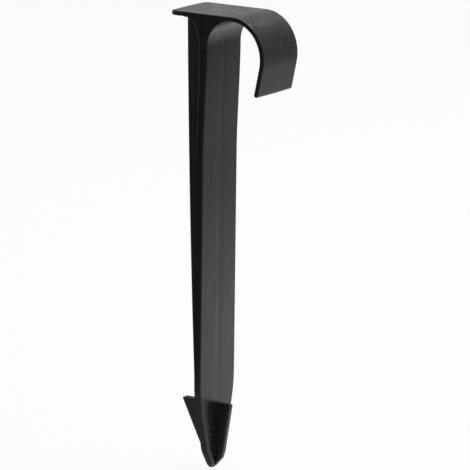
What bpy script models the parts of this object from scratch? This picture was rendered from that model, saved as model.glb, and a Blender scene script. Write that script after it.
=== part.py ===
"""Stake that pins a drip line to the ground, in real size.

The real stake is one moulding. Here each section of it that does a job is an object of its own:
the strike plate, the curl and tail of its hook, the neck, blade and rib of the T-shaped shaft,
and the point with its two barbs. Neighbouring sections lie SEAM apart.

Frame: metres, origin at the tip of the point, +Z up the shaft, +X to the side of the hook.
The stake is the same on both sides of Y = 0.
"""

import math

import bmesh
import bpy

MM = 0.001

# Whole stake
TOTAL_H = 150.0 * MM        # tip of the point to the strike face
WIDTH = 20.2 * MM           # strip and blade, across Y
FACE_X = 2.25 * MM          # front face of the blade, ahead of the tip
SEAM = 0.3 * MM             # between neighbouring sections

# Strip that makes the strike plate and the hook
STRIP_T = 1.7 * MM
PLATE_REAR = 13.35 * MM     # rear edge of the plate, behind the blade's front face
PLATE_CORNER_R = 2.5 * MM
HOOK_R = 10.3 * MM          # inside of the curl, along X
HOOK_RISE = 11.2 * MM       # inside of the curl, from its widest place up to the plate
HOOK_DROP = 24.6 * MM       # strike face to the end of the tail
TAIL_LEAN = math.radians(11.5)

# T-shaped shaft
BLADE_T = 2.5 * MM
NECK_FLARE = 1.0 * MM       # how far the blade's front face comes forward below the arch
NECK_FLARE_L = 36.0 * MM    # length of that flare
ARCH_R = 9.15 * MM          # fillet between blade and plate, hook side
NECK_LEAN = 0.7 * MM        # how far the blade's back comes forward with it
REAR_FILLET_RUN = 5.0 * MM  # oval fillet between blade and plate, rib side: along the plate
REAR_FILLET_DROP = 10.0 * MM    # and down the blade
RIB_T = 2.2 * MM
RIB_DEPTH_TOP = 9.9 * MM
RIB_DEPTH_LOW = 5.6 * MM

# Point
TAPER_TOP = 31.0 * MM       # height at which the blade starts to narrow
TAPER_BEND = 14.5 * MM      # height at which it narrows more quickly
TAPER_BEND_W = 15.2 * MM    # its width there
SPEAR_W = 12.0 * MM         # width of the narrow stretch
SPEAR_TOP = 9.5 * MM        # height of that stretch's upper end
SPEAR_LOW = 8.0 * MM        # height at which the rounded end starts
SPEAR_ROUND = 1.3           # exponent of the rounded end: 1 has straight sides, 2 is half an ellipse
BARB_H = 22.0 * MM          # height of both shoulders
REAR_BARB_REACH = 10.5 * MM
FRONT_BARB_REACH = 5.4 * MM
FRONT_BEND_H = 5.0 * MM     # height at which the front barb's edge turns in to the tip
FRONT_BEND_REACH = 2.8 * MM
FRONT_FOOT_H = 2.0 * MM     # height of its lower end
REAR_BARB_T = 2.6 * MM
FRONT_BARB_T = 1.7 * MM
BARB_FILLET = 1.5 * MM      # fillet between barb and blade, at the shoulder
BARB_FOOT = 0.6 * MM        # reach of both at the lower end

ARC_STEPS = 12
FILLET_STEPS = 5

# Places that follow from the sizes above
PLATE_UNDER = TOTAL_H - STRIP_T
NECK_TOP = PLATE_UNDER - SEAM
BLADE_BACK = FACE_X - BLADE_T
NECK_FACE_X = FACE_X + NECK_FLARE
ARCH_X = NECK_FACE_X + ARCH_R
ARCH_Z = PLATE_UNDER - ARCH_R
NECK_LOW = ARCH_Z - NECK_FLARE_L
HOOK_Z = PLATE_UNDER - HOOK_RISE
HOOK_END = math.atan(math.tan(TAIL_LEAN) * HOOK_RISE / HOOK_R)  # angle of the oval where the tail starts
REAR_FILLET_X = BLADE_BACK + NECK_LEAN - REAR_FILLET_RUN
REAR_FILLET_Z = PLATE_UNDER - REAR_FILLET_DROP

CHARCOAL = (0.02, 0.02, 0.021, 1.0)


def remove_all():
    for obj in list(bpy.data.objects):
        bpy.data.objects.remove(obj, do_unlink=True)


def moulded_plastic(name, roughness):
    material = bpy.data.materials.new(name)
    material.use_nodes = True
    shader = material.node_tree.nodes["Principled BSDF"]
    shader.inputs["Base Color"].default_value = CHARCOAL
    shader.inputs["Roughness"].default_value = roughness
    shader.inputs["Metallic"].default_value = 0.0
    return material


def add_part(name, data, roughness):
    obj = bpy.data.objects.new(name, data)
    data.materials.append(moulded_plastic(name, roughness))
    bpy.data.collections["drip_tube_stake"].objects.link(obj)
    return obj


def oval(centre, run, rise, start, end, outset=0.0):
    """Points on an oval from angle start to angle end, each moved out square to it by outset."""
    points = []
    for step in range(ARC_STEPS + 1):
        angle = start + (end - start) * step / ARC_STEPS
        u = math.cos(angle)
        v = math.sin(angle)
        move = outset / math.hypot(rise * u, run * v)
        points.append((centre[0] + u * (run + rise * move), centre[1] + v * (rise + run * move)))
    return points


def arc(centre, radius, start, end):
    return oval(centre, radius, radius, start, end)


def slab(name, outline, thickness, roughness):
    """Flat outline in the object's own XY plane, thickened equally to both sides."""
    curve = bpy.data.curves.new(name, "CURVE")
    curve.dimensions = "2D"
    curve.fill_mode = "BOTH"
    curve.extrude = thickness / 2
    spline = curve.splines.new("POLY")
    spline.points.add(len(outline) - 1)
    for point, (u, v) in zip(spline.points, outline):
        point.co = (u, v, 0, 1)
    spline.use_cyclic_u = True
    return add_part(name, curve, roughness)


def side_slab(name, outline, thickness, roughness):
    """Slab whose outline lies in X and Z, centred on Y = 0."""
    obj = slab(name, outline, thickness, roughness)
    obj.rotation_euler = (math.pi / 2, 0, 0)
    return obj


def strike_plate():
    """Flat head that takes the mallet, with its rear corners rounded."""
    rear = FACE_X - PLATE_REAR
    front = ARCH_X - SEAM
    half = WIDTH / 2
    r = PLATE_CORNER_R
    outline = [(front, -half), (front, half)]
    outline += arc((rear + r, half - r), r, math.pi / 2, math.pi)
    outline += arc((rear + r, r - half), r, math.pi, 1.5 * math.pi)
    plate = slab("strike_plate", outline, STRIP_T, 0.45)
    plate.location.z = TOTAL_H - STRIP_T / 2


def hook_curl():
    """Strip rolled over and down to the start of its straight tail."""
    centre = (ARCH_X, HOOK_Z)
    top = math.pi / 2
    outline = oval(centre, HOOK_R, HOOK_RISE, top, -HOOK_END, STRIP_T)
    outline += oval(centre, HOOK_R, HOOK_RISE, -HOOK_END, top)
    side_slab("hook_curl", outline, WIDTH, 0.42)


def hook_tail():
    """Straight end of the hook, leaning in towards the shaft, with a rounded lip.

    Drawn straight down from the inner end of the curl, then turned to the lean.
    """
    lip_r = STRIP_T / 2
    start_x = ARCH_X + HOOK_R * math.cos(HOOK_END)
    start_z = HOOK_Z - HOOK_RISE * math.sin(HOOK_END)
    lip_z = TOTAL_H - HOOK_DROP + lip_r
    length = (start_z - lip_r * math.sin(TAIL_LEAN) - lip_z) / math.cos(TAIL_LEAN)
    outline = [(0, -SEAM), (STRIP_T, -SEAM)]
    outline += arc((lip_r, -length), lip_r, 0, -math.pi)
    tail = side_slab("hook_tail", outline, WIDTH, 0.42)
    tail.rotation_euler.y = TAIL_LEAN
    tail.location = (start_x, 0, start_z)


def shaft_neck():
    """Top of the blade, flared into the plate by a wide arch in front and a fillet behind."""
    arch_end = math.pi - math.asin((NECK_TOP - ARCH_Z) / ARCH_R)
    fillet_end = math.asin((NECK_TOP - REAR_FILLET_Z) / REAR_FILLET_DROP)
    fillet = (REAR_FILLET_X, REAR_FILLET_Z)
    outline = [(BLADE_BACK, NECK_LOW), (FACE_X, NECK_LOW)]
    outline += arc((ARCH_X, ARCH_Z), ARCH_R, math.pi, arch_end)
    outline += oval(fillet, REAR_FILLET_RUN, REAR_FILLET_DROP, fillet_end, 0)
    side_slab("shaft_neck", outline, WIDTH, 0.4)


def shaft_blade():
    """Flat front of the T-shaped shaft, from the neck down to where it narrows."""
    low = TAPER_TOP + SEAM
    high = NECK_LOW - SEAM
    mesh = bpy.data.meshes.new("shaft_blade")
    bm = bmesh.new()
    bmesh.ops.create_cube(bm, size=1)
    bmesh.ops.scale(bm, vec=(BLADE_T, WIDTH, high - low), verts=bm.verts)
    bm.to_mesh(mesh)
    bm.free()
    blade = add_part("shaft_blade", mesh, 0.38)
    blade.location = (FACE_X - BLADE_T / 2, 0, (low + high) / 2)


def rear_rib():
    """Web behind the blade, deepest under the plate, ending on the rear barb's shoulder."""
    front = BLADE_BACK - SEAM
    low = BARB_H + SEAM
    outline = [
        (BLADE_BACK - RIB_DEPTH_TOP, NECK_TOP),
        (BLADE_BACK - RIB_DEPTH_LOW, low),
        (front, low),
        (front, NECK_LOW),
    ]
    fillet = (REAR_FILLET_X, REAR_FILLET_Z)
    outline += oval(fillet, REAR_FILLET_RUN, REAR_FILLET_DROP, 0, math.pi / 2, -SEAM)
    side_slab("rear_rib", outline, RIB_T, 0.4)


def spear_point():
    """Bottom of the blade: it narrows, runs straight for a little and ends in a rounded point."""
    half = SPEAR_W / 2
    side = [(WIDTH / 2, TAPER_TOP), (TAPER_BEND_W / 2, TAPER_BEND), (half, SPEAR_TOP)]
    for step in range(ARC_STEPS):
        z = SPEAR_LOW * (1 - step / ARC_STEPS)
        fall = 1 - z / SPEAR_LOW
        side.append((half * (1 - fall ** SPEAR_ROUND) ** (1 / SPEAR_ROUND), z))
    outline = side + [(0, 0)] + [(-y, z) for y, z in reversed(side)]
    point = slab("spear_point", outline, BLADE_T, 0.38)
    point.rotation_euler = (math.pi / 2, 0, math.pi / 2)
    point.location.x = FACE_X - BLADE_T / 2


def barb_section(root_x, outward, thickness, reach, fillet):
    """One side of the barb as points in X and Y, from its root on the blade to its outer edge."""
    half = thickness / 2
    points = []
    for step in range(FILLET_STEPS + 1):
        turn = math.pi / 2 * step / FILLET_STEPS
        points.append((root_x + outward * fillet * (1 - math.cos(turn)), half + fillet * (1 - math.sin(turn))))
    return points + [(root_x + outward * reach, half)]


def barb(name, root_x, outward, thickness, profile):
    """Vane on the blade. The profile gives its reach at some heights, from its foot up to its flat shoulder."""
    widest = profile[-1][1]
    mesh = bpy.data.meshes.new(name)
    bm = bmesh.new()
    rings = []
    for z, reach in profile:
        half = barb_section(root_x, outward, thickness, reach, BARB_FILLET * reach / widest)
        ring = half + [(x, -y) for x, y in reversed(half)]
        rings.append([bm.verts.new((x, y, z)) for x, y in ring])
    for low, high in zip(rings, rings[1:]):
        for i in range(len(low)):
            j = (i + 1) % len(low)
            bm.faces.new((low[i], low[j], high[j], high[i]))
    bm.faces.new(rings[0])
    bm.faces.new(rings[-1])
    bmesh.ops.recalc_face_normals(bm, faces=bm.faces)
    bm.to_mesh(mesh)
    bm.free()
    add_part(name, mesh, 0.42)


def barbs():
    """Rear barb with one straight edge from the shoulder to the tip, and front barb with a bend in its edge."""
    rear_out = REAR_BARB_REACH - BLADE_BACK
    rear_root = BLADE_BACK - SEAM
    rear_foot_z = BARB_H * (BARB_FOOT - rear_root) / rear_out
    barb("rear_barb", rear_root, -1, REAR_BARB_T, [(rear_foot_z, BARB_FOOT), (BARB_H, rear_out + rear_root)])
    front_profile = [
        (FRONT_FOOT_H, BARB_FOOT),
        (FRONT_BEND_H, FRONT_BEND_REACH - SEAM),
        (BARB_H, FRONT_BARB_REACH - SEAM),
    ]
    barb("front_barb", FACE_X + SEAM, 1, FRONT_BARB_T, front_profile)


def build():
    remove_all()
    parts = bpy.data.collections.new("drip_tube_stake")
    bpy.context.scene.collection.children.link(parts)
    strike_plate()
    hook_curl()
    hook_tail()
    shaft_neck()
    shaft_blade()
    rear_rib()
    spear_point()
    barbs()


build()
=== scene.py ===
import math

import bmesh
import bpy
import numpy as np
from mathutils import Matrix, Vector


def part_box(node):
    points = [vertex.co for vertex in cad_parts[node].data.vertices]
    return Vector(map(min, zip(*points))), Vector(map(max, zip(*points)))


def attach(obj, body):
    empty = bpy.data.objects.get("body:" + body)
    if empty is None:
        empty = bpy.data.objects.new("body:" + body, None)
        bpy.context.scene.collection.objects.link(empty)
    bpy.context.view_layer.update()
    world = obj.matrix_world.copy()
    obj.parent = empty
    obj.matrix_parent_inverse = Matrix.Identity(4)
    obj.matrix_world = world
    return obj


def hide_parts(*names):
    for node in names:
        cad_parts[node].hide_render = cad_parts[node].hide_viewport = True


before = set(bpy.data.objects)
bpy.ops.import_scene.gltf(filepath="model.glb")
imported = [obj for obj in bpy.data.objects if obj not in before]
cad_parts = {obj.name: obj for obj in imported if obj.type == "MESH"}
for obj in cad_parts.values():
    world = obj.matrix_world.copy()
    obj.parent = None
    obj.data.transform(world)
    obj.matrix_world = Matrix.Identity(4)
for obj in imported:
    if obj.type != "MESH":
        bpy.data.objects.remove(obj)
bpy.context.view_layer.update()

# Studio
# The stake stands on its point on a white sweep, under one large softbox. A long lens looks a little
# down at the hook side and the blade's left edge. Grey walls that only gloss sees stand round the sweep.

# Metres, and the camera's angles in radians.
AIM = Vector((0.0150, -0.0107, 0.0811))
CAMERA_DISTANCE = 1.0988
CAMERA_TURN = 0.5731
CAMERA_TILT = 0.2314
CAMERA_ROLL = 0.0123
CAMERA_RANGE = (0.05, 20.0)
SENSOR_WIDTH = 36.0
FOCAL_PIXELS = 3500.0
IMAGE_PIXELS = 470.0
PAPER = (0.86, 0.86, 0.86, 1)
WALL_FACETS = 96

# Where the walls' levels change, in metres from the stake's point.
LEFT_HEIGHTS = (0.06, 0.18)
RIGHT_HEIGHTS = (0.0, 0.12)
TOP_HEIGHTS = (0.24, 0.40)
RIB_HEIGHTS = (0.16, 0.22)
LEFT_TO_RIGHT = (-0.1, 0.15)
RIB_TO_FRONT = (-0.08, 0.0)
FRONT_TO_BACK = (0.02, 0.12)

# Way to the middle of the dark side, and the cosines of the angles from it at which the dark starts
# and is full.
DARK_SIDE = (-0.10, -0.99, 0.0)
DARK_EDGE = (0.55, 0.85)


def studio_camera():
    data = bpy.data.cameras.new("studio_camera")
    data.sensor_width = SENSOR_WIDTH
    data.lens = FOCAL_PIXELS * SENSOR_WIDTH / IMAGE_PIXELS
    data.clip_start, data.clip_end = CAMERA_RANGE
    camera = bpy.data.objects.new("studio_camera", data)
    bpy.context.scene.collection.objects.link(camera)
    turn = Matrix.Rotation(CAMERA_TURN, 4, "Z") @ Matrix.Rotation(math.pi / 2 - CAMERA_TILT, 4, "X")
    place = Matrix.Translation(AIM) @ turn @ Matrix.Translation((0, 0, CAMERA_DISTANCE))
    camera.matrix_world = place @ Matrix.Rotation(CAMERA_ROLL, 4, "Z")
    bpy.context.scene.camera = camera


def soft_lamp(name, place, aim, size, power):
    data = bpy.data.lights.new(name, "AREA")
    data.shape = "DISK"
    data.size = size
    data.energy = power
    lamp = bpy.data.objects.new(name, data)
    bpy.context.scene.collection.objects.link(lamp)
    way = Vector(aim) - Vector(place)
    lamp.matrix_world = Matrix.Translation(place) @ way.to_track_quat("-Z", "Y").to_matrix().to_4x4()


def feed(tree, socket, value):
    """Links a node's output to a socket, or sets the socket to a number."""
    if isinstance(value, bpy.types.NodeSocket):
        tree.links.new(value, socket)
    else:
        socket.default_value = value


def calc(tree, operation, a, b=0.0):
    node = tree.nodes.new("ShaderNodeMath")
    node.operation = operation
    feed(tree, node.inputs[0], a)
    feed(tree, node.inputs[1], b)
    return node.outputs[0]


def vector_calc(tree, operation, a, b=(0, 0, 0)):
    node = tree.nodes.new("ShaderNodeVectorMath")
    node.operation = operation
    feed(tree, node.inputs[0], a)
    feed(tree, node.inputs[1], b)
    return node.outputs


def ramp(tree, value, low, high, to_low=0.0, to_high=1.0):
    """Runs smoothly from to_low to to_high while value runs from low to high."""
    node = tree.nodes.new("ShaderNodeMapRange")
    node.interpolation_type = "SMOOTHSTEP"
    feed(tree, node.inputs["Value"], value)
    feed(tree, node.inputs["From Min"], low)
    feed(tree, node.inputs["From Max"], high)
    feed(tree, node.inputs["To Min"], to_low)
    feed(tree, node.inputs["To Max"], to_high)
    return node.outputs[0]


def object_place(tree):
    return tree.nodes.new("ShaderNodeTexCoord").outputs["Object"]


def object_axes(tree):
    """The place on the object, apart as X, Y and Z."""
    apart = tree.nodes.new("ShaderNodeSeparateXYZ")
    feed(tree, apart.inputs[0], object_place(tree))
    return apart.outputs


def mix_shaders(tree, share, first, second, output):
    """Shows a share of the second shader over the first one."""
    both = tree.nodes.new("ShaderNodeMixShader")
    feed(tree, both.inputs[0], share)
    feed(tree, both.inputs[1], first.outputs[0])
    feed(tree, both.inputs[2], second.outputs[0])
    out = tree.nodes.new(output)
    feed(tree, out.inputs["Surface"], both.outputs[0])


def seen_directly(tree):
    """1 for rays from the camera, off gloss or through glass, and 0 for light that falls on the object."""
    path = tree.nodes.new("ShaderNodeLightPath").outputs
    seen = calc(tree, "MAXIMUM", path["Is Camera Ray"], path["Is Glossy Ray"])
    return calc(tree, "MAXIMUM", seen, path["Is Transmission Ray"])


def on_dark_side(tree):
    """1 on the dark side of the stake, and 0 beside it."""
    flat = vector_calc(tree, "MULTIPLY", object_place(tree), (1, 1, 0))["Vector"]
    way = vector_calc(tree, "NORMALIZE", flat)["Vector"]
    return ramp(tree, vector_calc(tree, "DOT_PRODUCT", way, DARK_SIDE)["Value"], *DARK_EDGE)


def empty_material(name):
    material = bpy.data.materials.new(name)
    material.use_nodes = True
    material.node_tree.nodes.clear()
    return material


def stage_prop(name, mesh, material, unseen):
    """Puts a prop in the studio. An unseen one shows only in gloss, and neither lights nor shades."""
    prop = bpy.data.objects.new(name, mesh)
    bpy.context.scene.collection.objects.link(prop)
    mesh.materials.append(material)
    if unseen:
        prop.visible_camera = False
        prop.visible_shadow = False
        prop.visible_diffuse = False


def sheet(name, size, z):
    mesh = bpy.data.meshes.new(name)
    bm = bmesh.new()
    bmesh.ops.create_grid(bm, x_segments=1, y_segments=1, size=size / 2)
    bm.to_mesh(mesh)
    bm.free()
    mesh.transform(Matrix.Translation((0, 0, z)))
    return mesh


def white_world(fill):
    """White where it is seen directly, and a plain soft fill of that strength as light."""
    world = bpy.data.worlds.new("white_world")
    world.use_nodes = True
    tree = world.node_tree
    tree.nodes.clear()
    light = tree.nodes.new("ShaderNodeBackground")
    light.inputs["Strength"].default_value = fill
    backdrop = tree.nodes.new("ShaderNodeBackground")
    backdrop.inputs["Strength"].default_value = 1.0
    mix_shaders(tree, seen_directly(tree), light, backdrop, "ShaderNodeOutputWorld")
    bpy.context.scene.world = world


def white_floor(size, drop, glow):
    """Matt white sheet under the point, with a share glow of plain white where it is seen directly."""
    material = empty_material("white_paper")
    tree = material.node_tree
    paper = tree.nodes.new("ShaderNodeBsdfDiffuse")
    paper.inputs["Color"].default_value = PAPER
    white = tree.nodes.new("ShaderNodeEmission")
    share = calc(tree, "MULTIPLY", seen_directly(tree), glow)
    mix_shaders(tree, share, paper, white, "ShaderNodeOutputMaterial")
    stage_prop("white_floor", sheet("white_floor", size, -drop), material, unseen=False)


def grey_walls(centre, radius, height, rise, front, rib_side, left, right, top, dark):
    """Round wall, higher to the right by rise, grey behind the stake and almost black on the dark side.

    left and right are the levels of its back at the foot and above it, and top is the level of its
    upper edge. front is the level of its near half, rib_side that of the low part behind the rib, and
    dark that of the dark side.
    """
    mesh = bpy.data.meshes.new("grey_walls")
    bm = bmesh.new()
    bmesh.ops.create_cone(bm, segments=WALL_FACETS, radius1=radius, radius2=radius, depth=height)
    for vert in bm.verts:
        vert.co += Vector((*centre, height / 2))
        if vert.co.z > height / 2:
            vert.co.z += rise * vert.co.x
    bm.to_mesh(mesh)
    bm.free()
    material = empty_material("grey_walls")
    tree = material.node_tree
    place = object_axes(tree)
    on_left = ramp(tree, place["Z"], *LEFT_HEIGHTS, *left)
    on_right = ramp(tree, place["Z"], *RIGHT_HEIGHTS, *right)
    back = ramp(tree, place["X"], *LEFT_TO_RIGHT, on_left, on_right)
    back = ramp(tree, place["Z"], *TOP_HEIGHTS, back, top)
    near = ramp(tree, place["X"], *RIB_TO_FRONT, rib_side, front)
    near = ramp(tree, place["Z"], *RIB_HEIGHTS, near, front)
    wall = tree.nodes.new("ShaderNodeEmission")
    feed(tree, wall.inputs["Strength"], ramp(tree, place["Y"], *FRONT_TO_BACK, near, back))
    black = tree.nodes.new("ShaderNodeEmission")
    black.inputs["Strength"].default_value = dark
    mix_shaders(tree, on_dark_side(tree), wall, black, "ShaderNodeOutputMaterial")
    stage_prop("grey_walls", mesh, material, unseen=True)


def grey_card(size, z, level):
    """Card flat on the sheet, on the dark side of the stake."""
    material = empty_material("grey_card")
    tree = material.node_tree
    clear = tree.nodes.new("ShaderNodeBsdfTransparent")
    card = tree.nodes.new("ShaderNodeEmission")
    card.inputs["Strength"].default_value = level
    mix_shaders(tree, on_dark_side(tree), clear, card, "ShaderNodeOutputMaterial")
    stage_prop("grey_card", sheet("grey_card", size, z), material, unseen=True)


bpy.context.scene.view_settings.view_transform = "Standard"
studio_camera()
white_world(fill=0.4)
white_floor(size=6.0, drop=0.0005, glow=0.92)
grey_walls(centre=(0.052, 0.09), radius=0.2, height=0.40, rise=0.6, front=0.12, rib_side=0.6,
           left=(0.25, 0.6), right=(0.55, 0.35), top=0.28, dark=0.03)
grey_card(size=0.4, z=-0.0003, level=0.3)
soft_lamp("overhead_softbox", place=(0.25, 0.45, 0.95), aim=(0, 0, 0.08), size=0.7, power=8.0)

# Barbs
# The two plain vanes that keep the stake in the soil, one on the rib side and one on the hook side. They
# are black polypropylene, moulded with the blade, and meet its faces in nearly sharp corners. The front
# vane's edge turns in towards the point in three runs.

MM = 0.001


def node_box(node):
    """Lowest and highest corner of a CAD node, in millimetres."""
    return [np.array(corner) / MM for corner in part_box(node)]


# All sizes of the stake are in millimetres.
BLADE_BACK = node_box("shaft_blade")[0][0]
BLADE_FACE = node_box("shaft_blade")[1][0]
HALF_WIDTH = node_box("shaft_blade")[1][1]
SHOULDER = node_box("rear_barb")[1][2]
REAR_REACH = BLADE_BACK - node_box("rear_barb")[0][0]
REAR_FOOT = 0.9
REAR_T = 2.7
FRONT_REACH = node_box("front_barb")[1][0] - BLADE_FACE
FRONT_EDGE = [(1.1, 0), (3.6, 2.15), (6.0, 2.85), (SHOULDER, FRONT_REACH)]
FRONT_T = 1.75
BARB_CORNER = 0.6
BARB_RIM = 0.32
ROOT_DEPTH = 0.3
REAR_ROOT = BLADE_BACK + ROOT_DEPTH
FRONT_ROOT = BLADE_FACE - ROOT_DEPTH


def rounded_corner(a, b, radius):
    """The solid inside both a and b, with their outer corner rounded."""
    corner = np.hypot(np.maximum(a + radius, 0), np.maximum(b + radius, 0))
    return corner + np.minimum(-radius, np.maximum(a, b))


def below_line(out, z, start, end):
    """Distance out of a straight edge that runs from start to end, each a height and a reach."""
    widening = (end[1] - start[1]) / (end[0] - start[0])
    return (out - start[1] - widening * (z - start[0])) / math.hypot(1, widening)


def barb(edge, y, z, thickness):
    """Vane inside its edge, with a flat shoulder, a rounded corner and rounded rims."""
    profile = rounded_corner(edge, z - SHOULDER, BARB_CORNER)
    return rounded_corner(profile, np.abs(y) - thickness / 2, BARB_RIM)


def rear_barb(x, y, z):
    edge = below_line(BLADE_BACK - x, z, (REAR_FOOT, 0), (SHOULDER, REAR_REACH))
    return barb(edge, y, z, REAR_T)


def front_barb(x, y, z):
    runs = [below_line(x - BLADE_FACE, z, start, end) for start, end in zip(FRONT_EDGE, FRONT_EDGE[1:])]
    return barb(np.maximum.reduce(runs), y, z, FRONT_T)


# A shape becomes a mesh on a grid that starts and ends this many steps outside its box. Its points are
# then moved onto it in a few passes, with a little slack where two of its faces lie nearly in line.
GRID_BEFORE = 1.37
GRID_AFTER = 2
FIT_PASSES = 5
FIT_SLACK = 1e-4

# How far out a point's slope and its rim are felt, and how strong a turn of the skin is a full rim.
SLOPE_REACH = 0.02
RIM_REACH = 0.3
RIM_FULL = 2.5


def slope(shape, points):
    """Gradient of a shape at points, by central differences."""
    found = np.empty_like(points)
    for axis in range(3):
        ahead = points.copy()
        behind = points.copy()
        ahead[:, axis] += SLOPE_REACH
        behind[:, axis] -= SLOPE_REACH
        found[:, axis] = (shape(*ahead.T) - shape(*behind.T)) / (2 * SLOPE_REACH)
    return found


def skin_normals(shape, points):
    skin = slope(shape, points)
    return skin / np.linalg.norm(skin, axis=1)[:, None]


def mark_rims(mesh, shape, points):
    """Stores how sharply the skin turns outward at each point, for the wear on the rims."""
    bend = -6 * shape(*points.T)
    for axis in range(3):
        for side in (-RIM_REACH, RIM_REACH):
            moved = points.copy()
            moved[:, axis] += side
            bend += shape(*moved.T)
    rim = mesh.attributes.new("rim", "FLOAT", "POINT")
    rim.data.foreach_set("value", np.clip(bend / RIM_REACH**2 / RIM_FULL, 0, 1).astype(np.float32))


def finish_skin(name, mesh, shape, points, corners):
    """Gives a mesh its exact normals and its rims, and makes a piece of it."""
    mesh.shade_smooth()
    mesh.normals_split_custom_set(corners.reshape(-1, 3).tolist())
    mark_rims(mesh, shape, points)
    piece = bpy.data.objects.new(name, mesh)
    bpy.context.scene.collection.objects.link(piece)
    return piece


def grid_crossings(stack, axes, step, axis):
    """Where the grid lines along one axis pass through the skin.

    For each crossing, gives the four cells round it, whether its line leaves the plastic there, its
    place, and the layer of the stack that it lies on: 0 for the shape, then the cuts.
    """
    solid = stack.max(0)
    near = [slice(None)] * 3
    far = [slice(None)] * 3
    near[axis] = slice(None, -1)
    far[axis] = slice(1, None)
    start = np.argwhere((solid[tuple(near)] < 0) != (solid[tuple(far)] < 0))
    end = start.copy()
    end[:, axis] += 1
    h0 = solid[tuple(start.T)]
    h1 = solid[tuple(end.T)]
    t = h0 / (h0 - h1)
    between = stack[(slice(None), *start.T)] * (1 - t) + stack[(slice(None), *end.T)] * t
    place = np.stack([axes[i][start[:, i]] for i in range(3)], 1)
    place[:, axis] += t * step[axis]
    ring = []
    for second, third in ((0, 0), (-1, 0), (-1, -1), (0, -1)):
        cell = start.copy()
        cell[:, (axis + 1) % 3] += second
        cell[:, (axis + 2) % 3] += third
        ring.append(np.ravel_multi_index(cell.T, solid.shape))
    return np.stack(ring), h0 < 0, place, between.argmax(0)


def settle(points, touches, shape, normals, ends, longest):
    """Moves points onto the shape and the cuts that they touch, at most longest in one pass."""
    for _ in range(FIT_PASSES):
        miss = np.zeros(touches.shape)
        ways = np.zeros(touches.shape + (3,))
        miss[:, 0] = shape(*points.T)
        ways[:, 0] = slope(shape, points)
        for layer, (normal, end) in enumerate(zip(normals, ends), 1):
            miss[:, layer] = points @ normal - end
            ways[:, layer] = normal
        miss[~touches] = 0
        ways[~touches] = 0
        square = ways @ ways.transpose(0, 2, 1) + np.eye(len(ends) + 1) * FIT_SLACK
        move = -(ways * np.linalg.solve(square, miss[..., None])).sum(1)
        far = np.linalg.norm(move, axis=1) / longest
        points += move / np.maximum(far, 1)[:, None]


def cast(name, shape, step, low, high, cuts):
    """Closed mesh of the plastic where shape(x, y, z) is below zero, in the box low to high.

    cuts are planes, each a normal and its place along it, that end the piece square against its
    neighbour. A grid of step finds the skin, with one point in each cell that the skin passes through.
    """
    axes = [np.arange(a - GRID_BEFORE * s, b + GRID_AFTER * s, s) for a, b, s in zip(low, high, step)]
    x, y, z = axes[0][:, None, None], axes[1][None, :, None], axes[2][None, None, :]
    normals = np.array([normal for normal, end in cuts], float)
    ends = [end for normal, end in cuts]
    layers = [shape(x, y, z)]
    layers += [n[0] * x + n[1] * y + n[2] * z - end for n, end in zip(normals, ends)]
    sizes = tuple(len(places) for places in axes)
    stack = np.stack([np.broadcast_to(layer, sizes) for layer in layers])
    rings, leaving, places, kinds = zip(*(grid_crossings(stack, axes, step, axis) for axis in range(3)))
    cells, index = np.unique(np.concatenate([ring.ravel() for ring in rings]), return_inverse=True)
    around = np.concatenate([np.tile(place, (4, 1)) for place in places])
    touched = np.concatenate([np.tile(kind, 4) for kind in kinds])
    count = np.bincount(index)
    points = np.stack([np.bincount(index, around[:, i]) / count for i in range(3)], 1)
    touches = np.stack([np.bincount(index, touched == k) > 0 for k in range(len(layers))], 1)
    settle(points, touches, shape, normals, ends, min(step))
    quads = np.concatenate([np.where(out, ring, ring[::-1]).T for ring, out in zip(rings, leaving)])
    quads = np.searchsorted(cells, quads)
    kinds = np.concatenate(kinds)
    corners = skin_normals(shape, points)[quads]
    for layer, normal in enumerate(normals, 1):
        corners[kinds == layer] = normal
    mesh = bpy.data.meshes.new(name)
    mesh.from_pydata((points * MM).tolist(), [], quads.tolist())
    return finish_skin(name, mesh, shape, points, corners)


# The plastic's two tints, how much of the pale one its streaks and rims have, and its roughness.
DEEP_BLACK = (0.0105, 0.0103, 0.0120, 1)
PALE_BLACK = (0.0185, 0.0182, 0.0205, 1)
NOISE_SPAN = (0.3, 0.7)
FLOW_PALE = 0.55
RIM_PALE = 0.45
SATIN_ROUGH = (0.25, 0.34)
FLOW_ROUGH = (-0.05, 0.05)
RIM_ROUGH = 0.06
SCRATCH_ROUGH = 0.16

# Relief in millimetres.
GRAIN_HIGH = 0.008
WAVES_HIGH = 0.06
FLOW_HIGH = 0.03
SCRATCH_DEEP = 0.003

# How strong a line of noise is to count as a scratch, and the heights in metres over which scratches
# come in, up to the strike face and down to the point.
SCRATCH_SPAN = (0.66, 0.74)
STRUCK = (0.1494, 0.1498)
IN_SOIL = (0.034, 0.004)


def noise(tree, size, detail, stretch=(1, 1, 1), turn=0.0):
    """Noise whose blots are size millimetres across, drawn out by stretch."""
    spread = tree.nodes.new("ShaderNodeMapping")
    feed(tree, spread.inputs["Vector"], object_place(tree))
    spread.inputs["Rotation"].default_value = (0, 0, turn)
    spread.inputs["Scale"].default_value = [1 / (size * MM * s) for s in stretch]
    texture = tree.nodes.new("ShaderNodeTexNoise")
    texture.inputs["Scale"].default_value = 1.0
    texture.inputs["Detail"].default_value = detail
    feed(tree, texture.inputs["Vector"], spread.outputs[0])
    return texture.outputs[0]


def times(tree, value, factor):
    return calc(tree, "MULTIPLY", value, factor)


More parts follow.
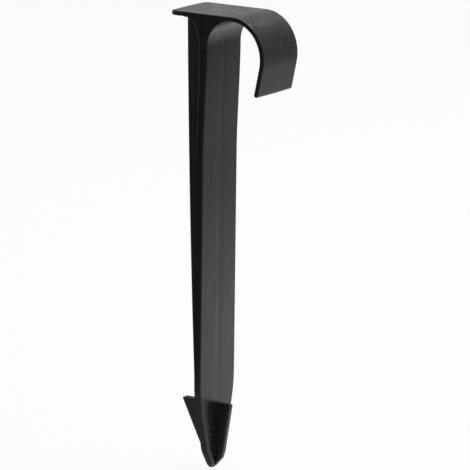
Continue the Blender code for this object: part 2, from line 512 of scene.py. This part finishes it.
def scratches(tree):
    """Fine scratches where the stake is struck and where it meets the soil."""
    one_way = noise(tree, 0.16, 1, (1, 22, 22), 0.5)
    other_way = noise(tree, 0.13, 1, (1, 30, 30), -0.7)
    lines = ramp(tree, calc(tree, "MAXIMUM", one_way, other_way), *SCRATCH_SPAN)
    height = object_axes(tree)["Z"]
    worked = calc(tree, "MAXIMUM", ramp(tree, height, *STRUCK), ramp(tree, height, *IN_SOIL))
    return times(tree, lines, worked)


def black_polypropylene():
    """Satin plastic: streaks from its flow into the mould, uneven sheen, fine grain, slightly worn rims."""
    material = bpy.data.materials.new("black_polypropylene")
    material.use_nodes = True
    tree = material.node_tree
    shader = tree.nodes["Principled BSDF"]
    shader.inputs["IOR"].default_value = 1.5
    sheen = noise(tree, 7.0, 3)
    flow = noise(tree, 1.2, 2, (1, 1, 32))
    marks = scratches(tree)
    attribute = tree.nodes.new("ShaderNodeAttribute")
    attribute.attribute_name = "rim"
    rim = attribute.outputs["Fac"]

    # The Mix node's colours are its inputs 6 and 7 and its output 2.
    tint = tree.nodes.new("ShaderNodeMix")
    tint.data_type = "RGBA"
    pale = calc(tree, "ADD", ramp(tree, flow, *NOISE_SPAN, 0, FLOW_PALE), times(tree, rim, RIM_PALE))
    feed(tree, tint.inputs["Factor"], pale)
    feed(tree, tint.inputs[6], DEEP_BLACK)
    feed(tree, tint.inputs[7], PALE_BLACK)
    feed(tree, shader.inputs["Base Color"], tint.outputs[2])

    satin = ramp(tree, sheen, *NOISE_SPAN, *SATIN_ROUGH)
    rough = calc(tree, "ADD", satin, ramp(tree, flow, *NOISE_SPAN, *FLOW_ROUGH))
    worn = calc(tree, "ADD", times(tree, rim, RIM_ROUGH), times(tree, marks, SCRATCH_ROUGH))
    feed(tree, shader.inputs["Roughness"], calc(tree, "ADD", rough, worn))

    grain = times(tree, noise(tree, 0.22, 2), GRAIN_HIGH)
    waves = calc(tree, "ADD", times(tree, noise(tree, 6.0, 1), WAVES_HIGH), times(tree, flow, FLOW_HIGH))
    relief = calc(tree, "SUBTRACT", calc(tree, "ADD", grain, waves), times(tree, marks, SCRATCH_DEEP))
    bump = tree.nodes.new("ShaderNodeBump")
    bump.inputs["Distance"].default_value = MM
    feed(tree, bump.inputs["Height"], relief)
    feed(tree, shader.inputs["Normal"], bump.outputs[0])
    return material


PLASTIC = black_polypropylene()
FINE = (0.22, 0.22, 0.25)
UP = (0, 0, 1)
DOWN = (0, 0, -1)
AHEAD = (1, 0, 0)
BACK = (-1, 0, 0)


def fit(piece, node):
    """Gives a section of the moulding its plastic, and puts it in place of its CAD node."""
    piece.data.materials.clear()
    piece.data.materials.append(PLASTIC)
    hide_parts(node)
    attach(piece, "root")


fit(cast("moulded_rear_barb", rear_barb, FINE,
         low=(BLADE_BACK - REAR_REACH, -REAR_T, 0), high=(REAR_ROOT, REAR_T, SHOULDER),
         cuts=[(AHEAD, REAR_ROOT)]), "rear_barb")
fit(cast("moulded_front_barb", front_barb, FINE,
         low=(FRONT_ROOT, -FRONT_T, 0), high=(BLADE_FACE + FRONT_REACH, FRONT_T, SHOULDER),
         cuts=[(BACK, -FRONT_ROOT)]), "front_barb")

# Spear point
# The bottom of the blade, in the same black plastic and the same moulding. It narrows, runs straight
# for a little and ends in a rounded point, where its face falls back. Its front edges are rounder than
# the shaft's, and its back edges are sharp.

SPEAR_TOP = (node_box("spear_point")[1][2] + node_box("shaft_blade")[0][2]) / 2
SPEAR_HEIGHTS = [0.0, 0.8, 2.0, 3.5, 5.0, 7.0, 8.0, 9.5, 11.5, 14.5, 19.3, 24.0, 27.5, 31.5]
SPEAR_HALVES = [0.8, 1.75, 2.7, 3.6, 4.6, 5.65, 5.9, 6.15, 6.75, 7.6, 8.8, 9.6, 10.0, 10.1]
SPEAR_BLUR = (-0.4, -0.2, 0, 0.2, 0.4)
FACE_ROUND = 0.6
POINT_ROUND = 1.2
POINT_ROUND_TOP = 27
POINT_ROUND_RUN = 10
POINT_END = 0.03
POINT_FALL = 0.9
CROWN = 0.15
GROOVE_DEPTH = 0.09
GROOVE_HALF = 1.3


def smooth_ramp(t):
    t = np.clip(t, 0, 1)
    return t * t * (3 - 2 * t)


def sink_groove(y):
    """How far the blade's face falls back: a crown, and the hollow that the rib draws in as it cools."""
    return GROOVE_DEPTH * np.exp(-((y / GROOVE_HALF) ** 2)) + CROWN * (y / HALF_WIDTH) ** 2


def spear_half(z):
    """Half the blade's width at height z, a little smoothed between the measured places."""
    around = [np.interp(z + move, SPEAR_HEIGHTS, SPEAR_HALVES) for move in SPEAR_BLUR]
    return sum(around) / len(around)


def blade(x, y, z):
    """Blade in front of its flat back."""
    reach = 0.05
    fall = (spear_half(z + reach) - spear_half(z - reach)) / (2 * reach)
    end = (np.abs(y) - spear_half(z)) / np.hypot(1, fall)
    rounder = smooth_ramp((POINT_ROUND_TOP - z) / POINT_ROUND_RUN)
    face = x - BLADE_FACE + sink_groove(y) + POINT_FALL * np.exp(-z)
    return rounded_corner(face, end, FACE_ROUND + (POINT_ROUND - FACE_ROUND) * rounder)


fit(cast("moulded_spear_point", blade, FINE,
         low=(BLADE_BACK, -HALF_WIDTH, 0), high=(BLADE_FACE, HALF_WIDTH, SPEAR_TOP),
         cuts=[(BACK, -BLADE_BACK), (UP, SPEAR_TOP), (DOWN, -POINT_END)]), "spear_point")

# Blade
# The flat front of the T-shaped shaft, between the spear point and the neck, in one moulding with them.
# Its face has a slight crown and a sink mark over the rib, and its long edges are rounded.

NECK_LOW = (node_box("shaft_neck")[0][2] + node_box("shaft_blade")[1][2]) / 2

fit(cast("moulded_shaft_blade", blade, (0.2, 0.22, 0.6),
         low=(BLADE_BACK, -HALF_WIDTH, SPEAR_TOP), high=(BLADE_FACE, HALF_WIDTH, NECK_LOW),
         cuts=[(BACK, -BLADE_BACK), (DOWN, -SPEAR_TOP), (UP, NECK_LOW)]), "shaft_blade")

# Neck
# The top of the blade, in one moulding with the plate. It thickens and runs into the plate's underside
# in a wide arch in front and a tall fillet behind.

PLATE_UNDER = node_box("strike_plate")[0][2]
PLATE_TOP = node_box("strike_plate")[1][2]
NECK_TOP = node_box("shaft_neck")[1][2]
ARCH_X = node_box("hook_curl")[0][0]
ARCH_R = 9.15
ARCH_Z = PLATE_UNDER - ARCH_R
NECK_FLARE = ARCH_X - ARCH_R - BLADE_FACE
NECK_LEAN = 0.7
BACK_ROUND = 0.12
FILLET_RUN = 5.0
FILLET_DROP = 10.0
FILLET_X = BLADE_BACK + NECK_LEAN - FILLET_RUN
FILLET_Z = PLATE_UNDER - FILLET_DROP

# How far the neck's front part goes on into the plate: past the fillet, past the arch, and to this far
# below the strike face.
PAST_FILLET = 1
PAST_ARCH = 2
BELOW_FACE = 0.85


def oval_distance(u, v, run, rise):
    """Distance to an oval round the origin, below zero inside it. Exact on the oval, close near it."""
    k0 = np.hypot(u / run, v / rise)
    k1 = np.hypot(u / run**2, v / rise**2)
    return k0 * (k0 - 1) / np.maximum(k1, 1e-9)


def shaft_back(x, z):
    """Back of the blade and neck, with the fillet that runs into the plate's underside."""
    back = BLADE_BACK + NECK_LEAN * smooth_ramp((z - NECK_LOW) / (FILLET_Z - NECK_LOW))
    fillet = -oval_distance(x - FILLET_X, z - FILLET_Z, FILLET_RUN, FILLET_DROP)
    return np.where((x > FILLET_X) & (z > FILLET_Z), fillet, np.minimum(back - x, PLATE_UNDER - z))


def neck(x, y, z):
    flare = NECK_FLARE * smooth_ramp((z - NECK_LOW) / (ARCH_Z - NECK_LOW))
    arch = ARCH_R - np.hypot(x - ARCH_X, z - ARCH_Z)
    below = np.minimum(x - BLADE_FACE - flare, PLATE_UNDER - z)
    front = np.where((x < ARCH_X) & (z > ARCH_Z), arch, below)
    sides = np.maximum(FILLET_X - PAST_FILLET - x, x - ARCH_X - PAST_ARCH)
    ends = np.maximum(sides, z - PLATE_TOP + BELOW_FACE)
    side = np.abs(y) - HALF_WIDTH
    front = rounded_corner(np.maximum(front + sink_groove(y), ends), side, FACE_ROUND)
    return np.maximum(front, rounded_corner(shaft_back(x, z), side, BACK_ROUND))


fit(cast("moulded_shaft_neck", neck, FINE,
         low=(FILLET_X, -HALF_WIDTH, NECK_LOW), high=(ARCH_X, HALF_WIDTH, NECK_TOP),
         cuts=[(DOWN, -NECK_LOW), (UP, NECK_TOP)]), "shaft_neck")

# Rear rib
# The web that stiffens the blade from behind, in one moulding with it. It is deepest under the strike
# plate, stands on the rear barb's shoulder, and has small fillets along its root.

RIB_HALF = node_box("rear_rib")[1][1]
RIB_OUT_TOP = node_box("rear_rib")[0][0]
RIB_OUT_LOW = -6.0
RIB_BOW = 0.5
RIB_SINK = 0.4
RIB_ROUND = 0.35
RIB_FILLET = 0.5

# The fillets that join the rib to the blade and plate are cut off where they have all but run out.
RIB_TRIM = 0.9 * RIB_FILLET
RIB_SIDE = RIB_HALF + RIB_TRIM
RIB_OUT = RIB_OUT_TOP - RIB_TRIM
RIB_LOW = SHOULDER - RIB_SINK
RIB_HIGH = PLATE_UNDER + RIB_SINK
RIB_DEEP = BLADE_BACK + NECK_LEAN + RIB_SINK
RIB_ROOM = 1
LEFT = (0, 1, 0)
RIGHT = (0, -1, 0)


def filleted_join(a, b, radius):
    """The solid that a and b make together, with the inner corner between them filled."""
    corner = np.hypot(np.maximum(radius - a, 0), np.maximum(radius - b, 0))
    return np.maximum(radius, np.minimum(a, b)) - corner


def rib(x, y, z):
    share = (z - SHOULDER) / (PLATE_UNDER - SHOULDER)
    outer = RIB_OUT_LOW + (RIB_OUT_TOP - RIB_OUT_LOW) * (share + RIB_BOW * share * (1 - share))
    web = rounded_corner(outer - x, np.abs(y) - RIB_HALF, RIB_ROUND)
    root = shaft_back(x, z)
    return np.maximum(filleted_join(web, root, RIB_FILLET), -RIB_SINK - root)


fit(cast("moulded_rear_rib", rib, (0.2, 0.15, 0.4),
         low=(RIB_OUT_TOP - RIB_ROOM, -RIB_SIDE, RIB_LOW), high=(RIB_DEEP, RIB_SIDE, RIB_HIGH),
         cuts=[(LEFT, RIB_SIDE), (RIGHT, RIB_SIDE), (BACK, -RIB_OUT), (DOWN, -RIB_LOW)]), "rear_rib")

# Strike plate
# The flat head that takes the mallet, a strip in one moulding with the shaft. Its rear corners and its
# nose are rounded, and its faces fall away a little to both sides so that the mould lets go.

PLATE_REAR = node_box("strike_plate")[0][0]
STRIP_T = PLATE_TOP - PLATE_UNDER
RIM_ROUND = 0.38
CORNER_R = 2.5
DRAFT = 0.010
DRAFT_RIDGE = 0.2


def strip_section(mid_distance, y, plan):
    """The strip's own section, with drafted faces and rounded rims."""
    faces = mid_distance - STRIP_T / 2 + DRAFT * np.hypot(y, DRAFT_RIDGE)
    return rounded_corner(faces, plan, RIM_ROUND)


def plate(x, y, z):
    nose = PLATE_REAR + STRIP_T / 2
    mid = np.hypot(np.maximum(nose - x, 0), z - PLATE_TOP + STRIP_T / 2)
    u = PLATE_REAR + CORNER_R - x
    v = np.abs(y) - HALF_WIDTH + CORNER_R
    plan = np.hypot(np.maximum(u, 0), np.maximum(v, 0)) + np.minimum(np.maximum(u, v), 0) - CORNER_R
    return np.minimum(strip_section(mid, y, plan), neck(x, y, z))


fit(cast("moulded_strike_plate", plate, (0.25, 0.25, 0.22),
         low=(PLATE_REAR, -HALF_WIDTH, NECK_TOP), high=(ARCH_X, HALF_WIDTH, PLATE_TOP),
         cuts=[(AHEAD, ARCH_X), (DOWN, -NECK_TOP)]), "strike_plate")

# Hook curl
# The plate's strip, rolled over and down round the drip line, in one moulding with the plate. It keeps
# one section all the way, so it is drawn as that section swept along the strip's middle line.

TAIL_LEAN = math.radians(11.5)
HOOK_R = node_box("hook_curl")[1][0] - STRIP_T - ARCH_X
HOOK_RISE = 11.2
HOOK_Z = PLATE_UNDER - HOOK_RISE
HOOK_END = math.atan(math.tan(TAIL_LEAN) * HOOK_RISE / HOOK_R)
TAIL_X = ARCH_X + HOOK_R * math.cos(HOOK_END)
TAIL_Z = HOOK_Z - HOOK_RISE * math.sin(HOOK_END)
TAIL_LOW = node_box("hook_tail")[0][2]
TAIL_LENGTH = (TAIL_Z - STRIP_T / 2 * math.sin(TAIL_LEAN) - STRIP_T / 2 - TAIL_LOW) / math.cos(TAIL_LEAN)
DOWN_TAIL = (-math.sin(TAIL_LEAN), 0, -math.cos(TAIL_LEAN))
TAIL_START = DOWN_TAIL[0] * TAIL_X + DOWN_TAIL[2] * TAIL_Z
CURL_STEPS = 97
FACE_PLACES = (0, 0.2, 0.5, 1, 2, 3.5, 5, 6.5, 8, 9)
RIM_STEPS = 7


def hook(x, y, z):
    """Curl and tail of the strip, as one shape."""
    down = DOWN_TAIL[0] * x + DOWN_TAIL[2] * z - TAIL_START
    across = (x - TAIL_X) * math.cos(TAIL_LEAN) - (z - TAIL_Z) * math.sin(TAIL_LEAN) - STRIP_T / 2
    curl = np.abs(oval_distance(x - ARCH_X, z - HOOK_Z, HOOK_R, HOOK_RISE) - STRIP_T / 2)
    tail = np.hypot(across, np.maximum(down - TAIL_LENGTH, 0))
    over = np.abs(z - PLATE_TOP + STRIP_T / 2)
    mid = np.where(x < ARCH_X, over, np.where(down > 0, tail, curl))
    return strip_section(mid, y, np.abs(y) - HALF_WIDTH)


def section_curve():
    """Closed outline of the strip's section, with its width along X."""
    inner = HALF_WIDTH - RIM_ROUND
    corner_y = STRIP_T / 2 - DRAFT * inner - RIM_ROUND
    quarter = [(y, STRIP_T / 2 - DRAFT * math.hypot(y, DRAFT_RIDGE)) for y in FACE_PLACES]
    for turn in np.linspace(math.pi / 2, 0, RIM_STEPS):
        quarter.append((inner + RIM_ROUND * math.cos(turn), corner_y + RIM_ROUND * math.sin(turn)))
    right = quarter + [(y, -t) for y, t in reversed(quarter)]
    outline = right + [(-y, t) for y, t in reversed(right[1:-1])]
    data = bpy.data.curves.new("strip_section", "CURVE")
    spline = data.splines.new("POLY")
    spline.points.add(len(outline) - 1)
    for place, (y, t) in zip(spline.points, outline):
        place.co = (y * MM, t * MM, 0, 1)
    spline.use_cyclic_u = True
    curve = bpy.data.objects.new("strip_section", data)
    bpy.context.scene.collection.objects.link(curve)
    return curve


def curl_tree():
    """Nodes that sweep a section along part of an oval, half the strip's thickness outside it."""
    tree = bpy.data.node_groups.new("rolled_strip", "GeometryNodeTree")
    sizes = ("Centre X", "Centre Z", "Run", "Rise", "Half Thickness", "Start", "End")
    kinds = {"Section": "Object", "Plastic": "Material", "Steps": "Int"} | dict.fromkeys(sizes, "Float")
    for name, kind in kinds.items():
        tree.interface.new_socket(name, in_out="INPUT", socket_type="NodeSocket" + kind)
    tree.interface.new_socket("Geometry", in_out="OUTPUT", socket_type="NodeSocketGeometry")
    given = tree.nodes.new("NodeGroupInput").outputs
    line = tree.nodes.new("GeometryNodeCurvePrimitiveLine")
    resample = tree.nodes.new("GeometryNodeResampleCurve")
    feed(tree, resample.inputs["Curve"], line.outputs[0])
    feed(tree, resample.inputs["Count"], given["Steps"])
    share = tree.nodes.new("GeometryNodeSplineParameter").outputs["Factor"]
    turned = times(tree, calc(tree, "SUBTRACT", given["End"], given["Start"]), share)
    angle = calc(tree, "ADD", given["Start"], turned)
    u = calc(tree, "COSINE", angle)
    v = calc(tree, "SINE", angle)
    rise_u = calc(tree, "POWER", times(tree, given["Rise"], u), 2.0)
    run_v = calc(tree, "POWER", times(tree, given["Run"], v), 2.0)
    length = calc(tree, "SQRT", calc(tree, "ADD", rise_u, run_v))
    move = calc(tree, "DIVIDE", given["Half Thickness"], length)
    along = calc(tree, "ADD", given["Run"], times(tree, given["Rise"], move))
    up = calc(tree, "ADD", given["Rise"], times(tree, given["Run"], move))
    place = tree.nodes.new("ShaderNodeCombineXYZ")
    feed(tree, place.inputs["X"], calc(tree, "ADD", given["Centre X"], times(tree, u, along)))
    feed(tree, place.inputs["Z"], calc(tree, "ADD", given["Centre Z"], times(tree, v, up)))
    bend = tree.nodes.new("GeometryNodeSetPosition")
    feed(tree, bend.inputs["Geometry"], resample.outputs[0])
    feed(tree, bend.inputs["Position"], place.outputs[0])
    section = tree.nodes.new("GeometryNodeObjectInfo")
    feed(tree, section.inputs["Object"], given["Section"])
    sweep = tree.nodes.new("GeometryNodeCurveToMesh")
    feed(tree, sweep.inputs["Curve"], bend.outputs[0])
    feed(tree, sweep.inputs["Profile Curve"], section.outputs["Geometry"])
    sweep.inputs["Fill Caps"].default_value = True
    real = tree.nodes.new("GeometryNodeRealizeInstances")
    feed(tree, real.inputs[0], sweep.outputs[0])
    coat = tree.nodes.new("GeometryNodeSetMaterial")
    feed(tree, coat.inputs["Geometry"], real.outputs[0])
    feed(tree, coat.inputs["Material"], given["Plastic"])
    feed(tree, tree.nodes.new("NodeGroupOutput").inputs[0], coat.outputs[0])
    return tree


def rolled_strip(name, values):
    """Plain mesh that the nodes make of the values."""
    tree = curl_tree()
    maker = bpy.data.objects.new(name + "_maker", bpy.data.meshes.new(name + "_maker"))
    bpy.context.scene.collection.objects.link(maker)
    nodes = maker.modifiers.new("rolled_strip", "NODES")
    nodes.node_group = tree
    for socket in tree.interface.items_tree:
        if socket.in_out == "INPUT":
            nodes[socket.identifier] = values[socket.name]
    bpy.context.view_layer.update()
    made = maker.evaluated_get(bpy.context.evaluated_depsgraph_get())
    mesh = bpy.data.meshes.new_from_object(made)
    mesh.name = name
    maker.modifiers.remove(nodes)
    bpy.data.objects.remove(maker)
    bpy.data.objects.remove(values["Section"])
    return mesh


def curl():
    """The curl as a piece. Only its two flat ends have more than four corners."""
    mesh = rolled_strip("moulded_hook_curl", {
        "Section": section_curve(), "Plastic": PLASTIC, "Steps": CURL_STEPS,
        "Centre X": ARCH_X * MM, "Centre Z": HOOK_Z * MM, "Run": HOOK_R * MM, "Rise": HOOK_RISE * MM,
        "Half Thickness": STRIP_T / 2 * MM, "Start": math.pi / 2, "End": -HOOK_END})
    mesh.flip_normals()
    points = np.empty(len(mesh.vertices) * 3)
    mesh.vertices.foreach_get("co", points)
    points = points.reshape(-1, 3) / MM
    skin = skin_normals(hook, points)
    corners = np.empty((len(mesh.loops), 3))
    for face in mesh.polygons:
        flat = len(face.vertices) > 4
        for loop in face.loop_indices:
            corners[loop] = face.normal if flat else skin[mesh.loops[loop].vertex_index]
    return finish_skin("moulded_hook_curl", mesh, hook, points, corners)


fit(curl(), "hook_curl")

# Hook tail
# The straight end of the strip, in one moulding with the curl. It leans in towards the shaft, so that
# the mouth is narrower than the hook, and ends in a rounded lip.

TAIL_SWING = 3.5
TAIL_HIGH = TAIL_Z + 0.4
UP_TAIL = tuple(-part for part in DOWN_TAIL)

fit(cast("moulded_hook_tail", hook, (0.2, 0.25, 0.2),
         low=(TAIL_X - TAIL_SWING, -HALF_WIDTH, TAIL_LOW), high=(TAIL_X + STRIP_T, HALF_WIDTH, TAIL_HIGH),
         cuts=[(UP_TAIL, -TAIL_START)]), "hook_tail")
